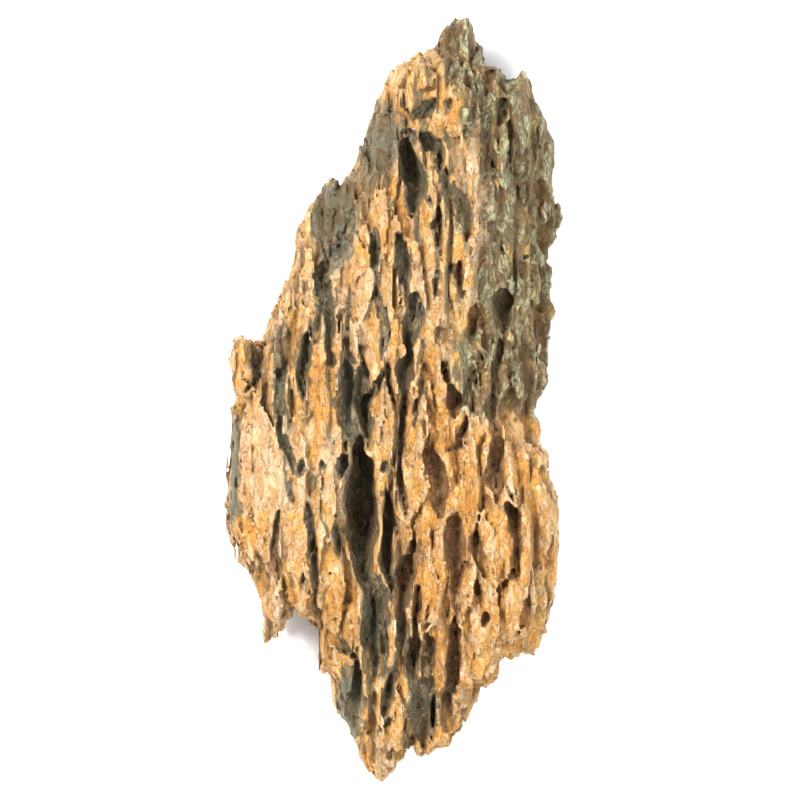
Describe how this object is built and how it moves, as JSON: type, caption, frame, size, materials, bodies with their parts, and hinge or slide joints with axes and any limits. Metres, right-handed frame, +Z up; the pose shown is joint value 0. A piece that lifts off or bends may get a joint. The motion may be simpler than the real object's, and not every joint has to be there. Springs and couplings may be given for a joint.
{
  "type": "aquarium rock",
  "caption": "Long slab of dragon stone, fluted and pitted along its length, lying on its back as a hardscape piece for an aquarium.",
  "frame": {"origin": "middle of the flat resting pad under the centre of the stone", "axes": "+Y along the stone's length, towards its peak; +X across it; +Z up out of its pitted face"},
  "size_m": [0.1347, 0.308, 0.0612],
  "materials": {
    "ochre_clay_stone": "dry, matt ochre clay stone with grey-green hollows"
  },
  "bodies": {
    "root": {"rock": "ochre_clay_stone"}
  },
  "joints": []
}
